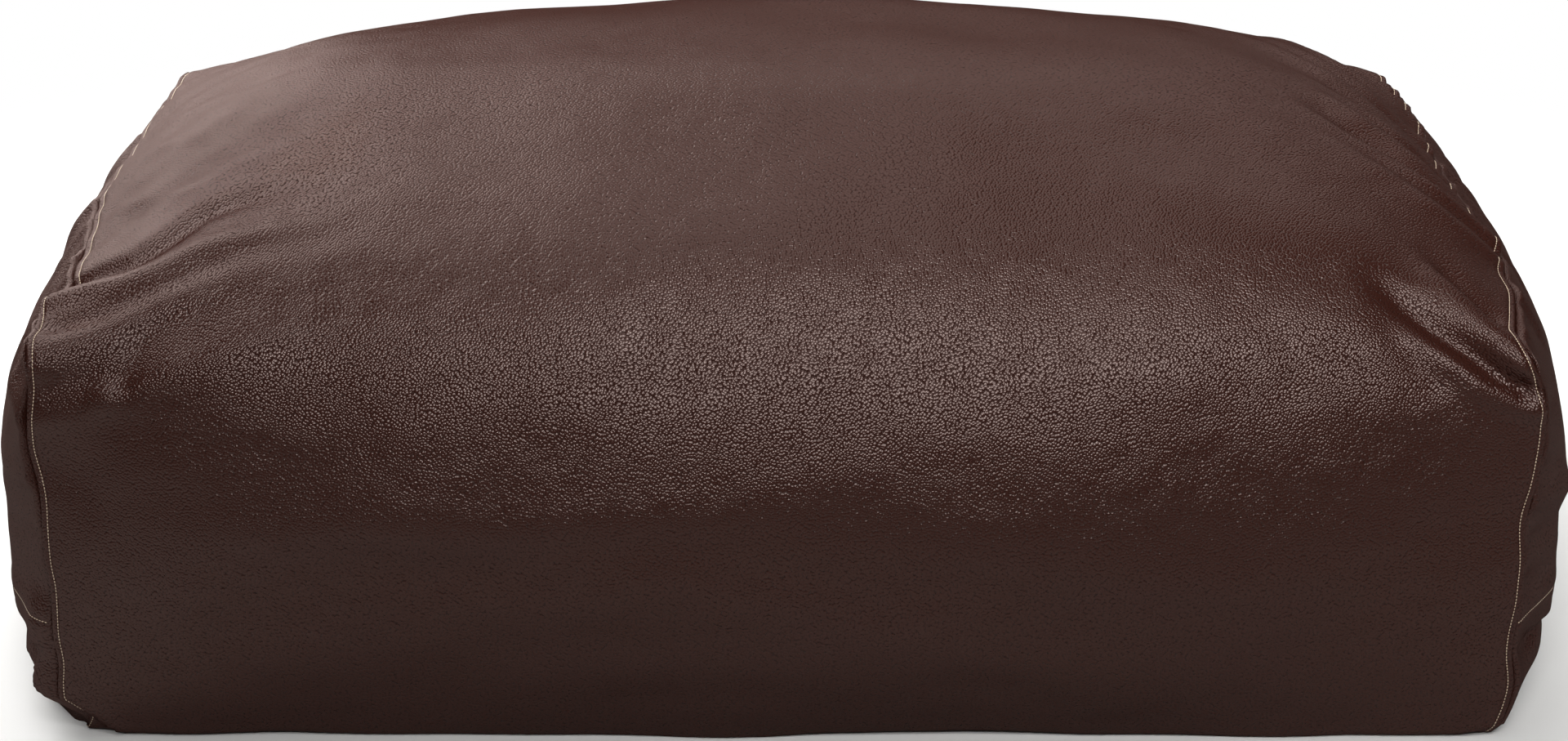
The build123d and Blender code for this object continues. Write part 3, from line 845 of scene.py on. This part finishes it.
def flecked(name, code, grain, roughness, depth, cells=False):
    """A plain finish with a fine broken surface: thread, nylon, lacquer, foamed beads or a floor."""
    material, tree = new_material(name)
    place = {"Vector": add_node(tree, "ShaderNodeTexCoord").outputs["Object"], "Scale": 1 / grain}
    if cells:
        fleck = add_node(tree, "ShaderNodeTexVoronoi", place, feature="SMOOTH_F1").outputs["Distance"]
    else:
        fleck = add_node(tree, "ShaderNodeTexNoise", {**place, "Detail": 2.0}).outputs["Fac"]
    bump = add_node(tree, "ShaderNodeBump", {"Height": fleck, "Strength": 0.5, "Distance": depth})
    base = linear(code)
    colour = add_node(tree, "ShaderNodeMix", {0: fleck, 6: base, 7: darker(base, 0.8)}, data_type="RGBA")
    rough = add_node(tree, "ShaderNodeMapRange", {
        "Value": fleck, "To Min": 0.85 * roughness, "To Max": 1.15 * roughness})
    surface = add_node(tree, "ShaderNodeBsdfPrincipled", {
        "Base Color": colour.outputs[2], "Roughness": rough, "Normal": bump})
    add_node(tree, "ShaderNodeOutputMaterial", {"Surface": surface})
    return material


def studio_floor(look):
    """Pale floor that takes the bag's shadow and, to the camera, runs out into the white backdrop."""
    material = flecked("Pale studio floor", look.floor, grain=0.0004, roughness=0.9, depth=0.0001)
    tree = material.node_tree
    output = next(node for node in tree.nodes if node.type == "OUTPUT_MATERIAL")
    plain = output.inputs["Surface"].links[0].from_socket
    place = add_node(tree, "ShaderNodeTexCoord").outputs["Object"]
    distance = add_node(tree, "ShaderNodeVectorMath", {0: place}, operation="LENGTH").outputs["Value"]
    start, end = FLOOR_FADE
    far = add_node(tree, "ShaderNodeMapRange", {
        "Value": distance, "From Min": start, "From Max": end}, interpolation_type="SMOOTHSTEP")
    seen = add_node(tree, "ShaderNodeLightPath").outputs["Is Camera Ray"]
    share = add_node(tree, "ShaderNodeMath", {0: far, 1: seen}, operation="MULTIPLY")
    white = add_node(tree, "ShaderNodeEmission", {"Color": WHITE, "Strength": 1.0})
    both = add_node(tree, "ShaderNodeMixShader", {0: share, 1: plain, 2: white})
    tree.links.new(both.outputs[0], output.inputs["Surface"])
    material.cycles.emission_sampling = "NONE"
    return material


MATERIALS = {}


def material_for(name):
    """The finish with that short name. All of them are made once."""
    look = bpy.context.scene.bag_look
    if not MATERIALS:
        MATERIALS.update({
            # Dark brown with small highlights, over the whole cover
            "leather": leathercloth(look),
            # Pale matt dashes beside the seams
            "thread": flecked(
                "Bonded polyester thread", look.thread, grain=0.0006, roughness=0.5, depth=0.0001),
            # Dull ribbed ribbons. The threads are drawn at about twice their real spacing, which is too fine.
            "tape": woven("Woven polyester zip tape", look.zip, spacing=0.0009, roughness=0.85),
            # Small turns with a soft sheen, against the dull tape
            "coil": flecked("Moulded nylon zip coil", look.zip, grain=0.0008, roughness=0.4, depth=0.00004),
            # Hard dark glints on the sliders and the stops
            "slider": flecked("Lacquered zinc slider", look.zip, grain=0.0012, roughness=0.3, depth=0.00003),
            # Pale plain cloth. Its threads too are drawn coarser, at about three times their real spacing.
            "liner": woven("Plain-woven polyester liner", look.liner, spacing=0.0012, roughness=0.9),
            # A white heap of small round beads
            "beads": flecked(
                "Foamed polystyrene beads", look.beads, grain=0.004, roughness=0.7, depth=0.0012, cells=True),
        })
    return MATERIALS[name]


# Geometry Nodes: small shapes set along a line

def line_tree(name, sizes, shape):
    """A tree that sets one shape at an even pitch along a line and turns it with the line."""
    tree = bpy.data.node_groups.new(name, "GeometryNodeTree")
    for label, kind in (("Line", "Geometry"), *((size, "Float") for size in sizes), ("Material", "Material")):
        tree.interface.new_socket(label, in_out="INPUT", socket_type="NodeSocket" + kind)
    tree.interface.new_socket("Shapes", in_out="OUTPUT", socket_type="NodeSocketGeometry")
    given = add_node(tree, "NodeGroupInput").outputs
    line = add_node(tree, "GeometryNodeMeshToCurve", {"Mesh": given["Line"]})
    line = add_node(tree, "GeometryNodeResampleCurve", {
        "Curve": line, "Length": given["Pitch"]}, mode="LENGTH")
    tangent = add_node(tree, "GeometryNodeInputTangent")
    turn = add_node(tree, "FunctionNodeAlignRotationToVector", {"Vector": tangent}, axis="Z")
    one, scale = shape(tree, given)
    many = add_node(tree, "GeometryNodeInstanceOnPoints", {
        "Points": line, "Instance": one, "Rotation": turn, "Scale": scale})
    real = add_node(tree, "GeometryNodeRealizeInstances", {"Geometry": many})
    soft = add_node(tree, "GeometryNodeSetShadeSmooth", {"Geometry": real})
    done = add_node(tree, "GeometryNodeSetMaterial", {"Geometry": soft, "Material": given["Material"]})
    add_node(tree, "NodeGroupOutput", {"Shapes": done})
    return tree


def stitch_shape(tree, given):
    """One stitch: a short plump length of thread."""
    ball = add_node(tree, "GeometryNodeMeshUVSphere", {"Segments": 6, "Rings": 5, "Radius": 0.5})
    scale = add_node(tree, "ShaderNodeCombineXYZ", {
        0: given["Thickness"], 1: given["Thickness"], 2: given["Length"]})
    return ball, scale


def coil_shape(tree, given):
    """One turn of a zip coil: a flattened ring of nylon."""
    ring = add_node(tree, "GeometryNodeCurvePrimitiveCircle", {"Resolution": 8, "Radius": 0.4})
    wire = add_node(tree, "GeometryNodeCurvePrimitiveCircle", {"Resolution": 5, "Radius": 0.12})
    turn = add_node(tree, "GeometryNodeCurveToMesh", {"Curve": ring, "Profile Curve": wire})
    scale = add_node(tree, "ShaderNodeCombineXYZ", {0: given["Depth"], 1: given["Width"], 2: given["Width"]})
    return turn, scale


def set_along(name, lines, tree, values):
    """Run a line tree over some lines and keep the result as one plain mesh piece."""
    points, edges = [], []
    for line in lines:
        start = len(points)
        points.extend(np.asarray(line).tolist())
        edges.extend((k, k + 1) for k in range(start, len(points) - 1))
    path = mesh_piece(name + "_path", points, [], None, edges)
    nodes = path.modifiers.new("Along", "NODES")
    nodes.node_group = tree
    for item in tree.interface.items_tree:
        if item.in_out == "INPUT" and item.name in values:
            nodes[item.identifier] = values[item.name]
    path.update_tag()
    made = path.evaluated_get(bpy.context.evaluated_depsgraph_get())
    mesh = bpy.data.meshes.new_from_object(made)
    mesh.name = name
    piece = bpy.data.objects.new(name, mesh)
    bpy.context.scene.collection.objects.link(piece)
    bpy.data.objects.remove(path)
    return piece


def settle(piece, slot, *nodes):
    """Hang a piece on the cover's body and hide the CAD nodes that it stands for. Its finish slot is not
    used.
    """
    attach(piece, "cover")
    if nodes:
        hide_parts(*nodes)
    return piece


# Pieces

STITCH_LINES = []


class BAG_OT_wrap(bpy.types.Operator):
    """Make the wrap: one panel over the front, the top and the back"""
    bl_idname = "bag.wrap"
    bl_label = "Wrap panel"

    def execute(self, context):
        form, cloth, sewing = context.scene.bag_form, context.scene.bag_cloth, context.scene.bag_sewing
        wrap, _, _, (long_cells, _, _) = stuffed_cover()
        along = spread(form.seam_span, WRAP_STEP)
        last = wrap.shape[1] - 1
        foot = np.arange(0, FOOT_CELLS, 0.25)
        middle = np.arange(FOOT_CELLS, last - FOOT_CELLS, 0.5)
        around = np.concatenate([foot, middle, last - FOOT_CELLS + foot, [last]])
        grid = resample(wrap, along / form.seam_span * long_cells, around)
        out = normals_of(grid)
        folds = FOLDS + gathers(1, height=5.0, lean=0.8, seed=11) + gathers(-1, height=1.0, lean=0.4, seed=5)
        lift = lumps(grid, cloth.lumps, seed=3)
        lift += cloth.folds * fold_lift(grid, folds) * smoothstep(0.1, 0.2, grid[..., 2])
        lift += seam_profile(np.minimum(along, form.seam_span - along), WRAP_ROLL)[:, None]
        grid = grid + out * lift[..., None]
        for sign, gap in ((-1, along), (1, form.seam_span - along)):
            grid = draw_in(grid, np.repeat(gap[:, None], grid.shape[1], 1), sign, sewing.draw)
        grid = settled(grid)
        sewn = grid + STITCH_STAND * sewing.thread * normals_of(grid)
        STITCH_LINES.extend((sewn[STITCH_STEP], sewn[-1 - STITCH_STEP]))
        allowance = [turned_in(grid[k], sign) for k, sign in ((0, -1), (-1, 1))]
        grid = np.concatenate([allowance[:1], grid, allowance[1:]])
        under = [turned_under(grid[:, k], 1, 0.94)[:, None] for k in (0, -1)]
        piece = leather_panel("wrap", np.concatenate([under[0], grid, under[1]], 1))
        settle(piece, "leathercloth", "wrap_panel")
        return {"FINISHED"}


def end_lift(form, cloth, grid, across, rows, d, sign, calm):
    """Relief of an end: its hanging lap, the groove of the lap's stitches, and gathers from its seams."""
    hang = np.clip((form.lap_top - rows) / form.lap_drop, 0, 1)[None, :]
    wave = 0.6 + 0.4 * np.sin(across * 31 + 2 * sign)[:, None]
    # The lap's free edge stands off the end, and turns in towards the front seam.
    bend = 3.0 - 9.0 * smoothstep(-0.28, -0.33, across - 0.5 * form.seam_depth)[:, None]
    lap = hang ** 1.6 * wave * bend * MM * smoothstep(0, 0.03, d)
    groove = MM * look_up(np.abs(rows - form.lap_top)[None, :] / MM, LAP_GROOVE)
    return lap + groove + cloth.folds * fold_lift(grid[..., 1:], end_gathers(4.0, 21 + sign)) * calm


def strip_lift(cloth, grid, rows, d):
    """Relief of the strip below a lap: it goes in behind the lap, and has a crease by the front seam."""
    behind = 7.0 * MM * smoothstep(0.05, 0.085, rows)[None, :] * smoothstep(0, 0.02, d)
    return cloth.folds * fold_lift(grid[..., 1:], STRIP_CREASE) - behind


class BAG_OT_ends(bpy.types.Operator):
    """Make the swollen ends, each with a lap over its zip, and the strips below the laps"""
    bl_idname = "bag.ends"
    bl_label = "End panels"

    def execute(self, context):
        form, cloth, sewing = context.scene.bag_form, context.scene.bag_cloth, context.scene.bag_sewing
        _, right, left, (_, side_cells, top_cells) = stuffed_cover()
        across = spread(form.seam_depth, END_STEP)
        lap_low = form.lap_top - form.lap_drop
        lap_rows = lap_low + LAP_ROWS
        rise = np.arange(lap_rows[-1] + RISE_STEP, form.seam_height - EDGE_STEPS[-1], RISE_STEP)
        upper_rows = np.concatenate([lap_rows, rise, form.seam_height - EDGE_STEPS[::-1]])
        lower_rows = np.linspace(0, lap_low + STRIP_OVER, 40)
        for side, source, sign in (("right", right, 1), ("left", left, -1)):
            for part, rows in (("end", upper_rows), ("lower_end", lower_rows)):
                name = side + "_" + part
                places = across / form.seam_depth * top_cells, rows / form.seam_height * side_cells
                grid = resample(source, *places)
                out = sign * normals_of(grid)
                d = np.minimum(across, form.seam_depth - across)[:, None] + 0 * rows[None, :]
                # Lumps and gathers stay clear of the lap.
                from_lap = np.abs(rows - form.lap_top + 0.5 * form.lap_drop)
                calm = smoothstep(0.0, 0.012, from_lap - 0.02)[None, :]
                lift = lumps(grid, cloth.lumps, seed=9) * calm
                if part == "end":
                    d = np.minimum(d, form.seam_height - rows[None, :])
                    lift += end_lift(form, cloth, grid, across, rows, d, sign, calm)
                else:
                    lift += strip_lift(cloth, grid, rows, d)
                lift += seam_profile(d, END_ROLL)
                grid = settled(draw_in(grid + out * lift[..., None], d, sign, sewing.draw))
                if part == "end":
                    sewn = grid + STITCH_STAND * sewing.thread * sign * normals_of(grid)
                    STITCH_LINES.append(sewn[2:-2, LAP_STITCH_ROW])
                    hem = [grid[:, 0] + (-sign * inwards * MM, 0, up * MM) for inwards, up in LAP_HEM]
                    grid = np.concatenate([np.stack(hem, 1), grid, turned_in(grid[:, -1], sign)[:, None]], 1)
                else:
                    grid = np.concatenate([turned_under(grid[:, 0], 0.97, 1)[:, None], grid], 1)
                allowance = [turned_in(grid[k], sign) for k in (0, -1)]
                grid = np.concatenate([allowance[:1], grid, allowance[1:]])
                piece = leather_panel(name, grid, flip=sign < 0)
                settle(piece, "leathercloth", name + "_panel")
        return {"FINISHED"}


class BAG_OT_base(bpy.types.Operator):
    """Make the flat base panel"""
    bl_idname = "bag.base"
    bl_label = "Base panel"

    def execute(self, context):
        low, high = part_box("base_panel")
        x, y = (np.linspace(low[k], high[k], count) for k, count in enumerate(BASE_POINTS))
        grid = np.stack(np.meshgrid(x, y, [BASE_FLOOR], indexing="ij"), -1)[:, :, 0]
        piece = leather_panel("base", grid, flip=True)
        thick = piece.modifiers.new("Cloth thickness", "SOLIDIFY")
        thick.thickness = BASE_THICK
        settle(piece, "leathercloth", "base_panel")
        return {"FINISHED"}


class BAG_OT_stitches(bpy.types.Operator):
    """Sew the top-stitches beside the end seams and above the laps"""
    bl_idname = "bag.stitches"
    bl_label = "Top-stitches"

    def execute(self, context):
        if not STITCH_LINES:
            raise RuntimeError("The panels have to be made before their stitches")
        sewing = context.scene.bag_sewing
        tree = line_tree("Top-stitch", ("Pitch", "Length", "Thickness"), stitch_shape)
        piece = set_along("top_stitch", STITCH_LINES, tree, {
            "Pitch": sewing.pitch, "Length": sewing.length, "Thickness": sewing.thread,
            "Material": material_for("thread")})
        settle(piece, "leathercloth")
        return {"FINISHED"}


def zip_line(form, sign, depth, height, reach):
    """Points along a zip at a depth behind its lap's face."""
    y = np.linspace(-reach, reach, ZIP_POINTS)
    x = form.seam_span / 2 + ZIP_FACE - depth - (ZIP_ARC - np.sqrt(ZIP_ARC ** 2 - y ** 2))
    return np.stack([sign * x, y, np.full(len(y), height)], 1)


class BAG_OT_zips(bpy.types.Operator):
    """Make the zips behind the laps: woven tapes, nylon coils, and finishes of the sliders and stops"""
    bl_idname = "bag.zips"
    bl_label = "Zips"

    def execute(self, context):
        form, sewing = context.scene.bag_form, context.scene.bag_sewing
        tree = line_tree("Zip coil", ("Pitch", "Width", "Depth"), coil_shape)
        for side, sign in (("right", 1), ("left", -1)):
            for part, way in (("upper", 1), ("lower", -1)):
                name, node = side + "_" + part, side + "_zip_" + part
                heights = form.zip_height + way * np.linspace(TAPE_GAP, TAPE_GAP + TAPE_WIDTH, 8)
                reach = form.zip_reach + TAPE_OVER
                grid = np.stack([zip_line(form, sign, TAPE_DEPTH, z, reach) for z in heights], 1)
                faces = grid_faces(*grid.shape[:2], flip=sign * way < 0)
                tape = mesh_piece(name + "_tape", grid, faces, material_for("tape"))
                thick = tape.modifiers.new("Tape thickness", "SOLIDIFY")
                thick.thickness = TAPE_THICK
                settle(tape, "zip_tape", node + "_tape")
                line = zip_line(form, sign, COIL_DEPTH, form.zip_height + way * COIL_STEP, form.zip_reach)
                coil = set_along(name + "_coil", [line], tree, {
                    "Pitch": sewing.coil_pitch, "Width": COIL_WIDTH, "Depth": COIL_HEIGHT,
                    "Material": material_for("coil")})
                settle(coil, "zip_coil", node + "_coil")
            for part in ("slider", "top_stops", "bottom_stop"):
                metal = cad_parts[side + "_zip_" + part].data.materials
                metal.clear()
                metal.append(material_for("slider"))
        return {"FINISHED"}


def inner_body(form, inset):
    """Closed rings of a body that lies an inset inside the cover, and less above the floor."""
    half = form.seam_span / 2
    # Each station: place along X, share of the half length whose outline it has, and size of its ring
    stations = [(-half - (INNER_BOW - inset) * end_bow_at(k), 1.0, k) for k in INNER_ENDS]
    stations += [(q * (half - inset), q, 1.0) for q in np.linspace(-1, 1, 31)]
    stations += [(-x, q, k) for x, q, k in reversed(stations[:len(INNER_ENDS)])]
    rings = []
    for x, q, k in stations:
        line = slice_line(form, q, *INNER_CELLS)
        base = np.linspace(line[-1, 0], line[0, 0], 14)[1:-1]
        line = np.concatenate([line, np.stack([base, np.zeros(len(base))], 1)])
        y = line[:, 0] * (1 - inset / INNER_DEPTH) * k
        z = INNER_FOOT * inset + line[:, 1] * (1 - (1 + INNER_FOOT) * inset / INNER_HEIGHT)
        rings.append(np.stack([np.full(len(y), x), y, STUFF_MIDDLE + (z - STUFF_MIDDLE) * k], 1))
    rings = np.array(rings)
    ids = np.arange(rings[..., 0].size).reshape(rings.shape[:2])
    beside = np.roll(ids, -1, axis=1)
    faces = np.stack([ids[:-1], ids[1:], beside[1:], beside[:-1]], -1).reshape(-1, 4).tolist()
    return rings, faces + [ids[0].tolist(), ids[-1, ::-1].tolist()]


class BAG_OT_inside(bpy.types.Operator):
    """Make the inner liner and its bead fill"""
    bl_idname = "bag.inside"
    bl_label = "Liner and beads"

    def execute(self, context):
        for name, node, slot, inset in (("liner", "inner_liner", "liner_cloth", 0.026),
                                        ("beads", "bead_fill", "polystyrene_beads", 0.029)):
            rings, faces = inner_body(context.scene.bag_form, inset)
            piece = mesh_piece(name, rings, faces, material_for(name))
            settle(piece, slot, node)
        return {"FINISHED"}


class BAG_OT_stage(bpy.types.Operator):
    """Set the camera, the pale floor and the soft light"""
    bl_idname = "bag.stage"
    bl_label = "Stage"

    def execute(self, context):
        scene = context.scene
        camera = bpy.data.objects.new("camera", bpy.data.cameras.new("camera"))
        camera.data.lens = CAMERA_LENS
        camera.location = CAMERA_PLACE
        camera.rotation_euler = (math.radians(CAMERA_TILT), 0, 0)
        scene.collection.objects.link(camera)
        scene.camera = camera
        corners = [(x * FLOOR_HALF, y * FLOOR_HALF, 0) for x, y in ((-1, -1), (1, -1), (1, 1), (-1, 1))]
        mesh_piece("floor", corners, [(0, 1, 2, 3)], studio_floor(scene.bag_look))
        world = bpy.data.worlds.new("Studio")
        scene.world = world
        world.use_nodes = True
        tree = world.node_tree
        tree.nodes.clear()
        # The backdrop is white to the camera, and gives the bag only a little fill light.
        fill = add_node(tree, "ShaderNodeBackground", {"Color": WHITE, "Strength": 0.05})
        white = add_node(tree, "ShaderNodeBackground", {"Color": WHITE, "Strength": 1.0})
        seen = add_node(tree, "ShaderNodeLightPath").outputs["Is Camera Ray"]
        sky = add_node(tree, "ShaderNodeMixShader", {0: seen, 1: fill, 2: white})
        add_node(tree, "ShaderNodeOutputWorld", {"Surface": sky})
        for name, place, aim, size, glow, angle in SOFTBOXES:
            lamp = bpy.data.lights.new(name, "AREA")
            lamp.shape = "RECTANGLE"
            lamp.size, lamp.size_y = size
            lamp.energy = glow * math.pi * size[0] * size[1]
            lamp.spread = math.radians(angle)
            softbox = bpy.data.objects.new(name, lamp)
            scene.collection.objects.link(softbox)
            softbox.location = place
            softbox.rotation_euler = (Vector(aim) - Vector(place)).to_track_quat("-Z", "Y").to_euler()
        scene.view_settings.view_transform = "Standard"
        return {"FINISHED"}


GROUPS = (("bag_form", BagForm), ("bag_cloth", BagCloth), ("bag_sewing", BagSewing), ("bag_look", BagLook))
STEPS = (BAG_OT_wrap, BAG_OT_ends, BAG_OT_base, BAG_OT_stitches, BAG_OT_zips, BAG_OT_inside, BAG_OT_stage)


class BAG_PT_panel(bpy.types.Panel):
    """Lists the bag's values and pieces"""
    bl_idname = "BAG_PT_panel"
    bl_label = "Bean bag"
    bl_space_type = "VIEW_3D"
    bl_region_type = "UI"
    bl_category = "Bean bag"

    def draw(self, context):
        for name, group in GROUPS:
            box = self.layout.box()
            for value in group.__annotations__:
                box.prop(getattr(context.scene, name), value)
        for step in STEPS:
            self.layout.operator(step.bl_idname)


def register():
    """Add the values, the pieces' operators and the panel."""
    for name, group in GROUPS:
        bpy.utils.register_class(group)
        setattr(bpy.types.Scene, name, bpy.props.PointerProperty(type=group))
    for step in STEPS + (BAG_PT_panel,):
        bpy.utils.register_class(step)


def unregister():
    """Take them out again."""
    for step in reversed(STEPS + (BAG_PT_panel,)):
        bpy.utils.unregister_class(step)
    for name, group in reversed(GROUPS):
        delattr(bpy.types.Scene, name)
        bpy.utils.unregister_class(group)


def main():
    """Make all pieces in order."""
    register()
    for step in STEPS:
        area, name = step.bl_idname.split(".")
        getattr(getattr(bpy.ops, area), name)()


if __name__ == "__main__":
    main()
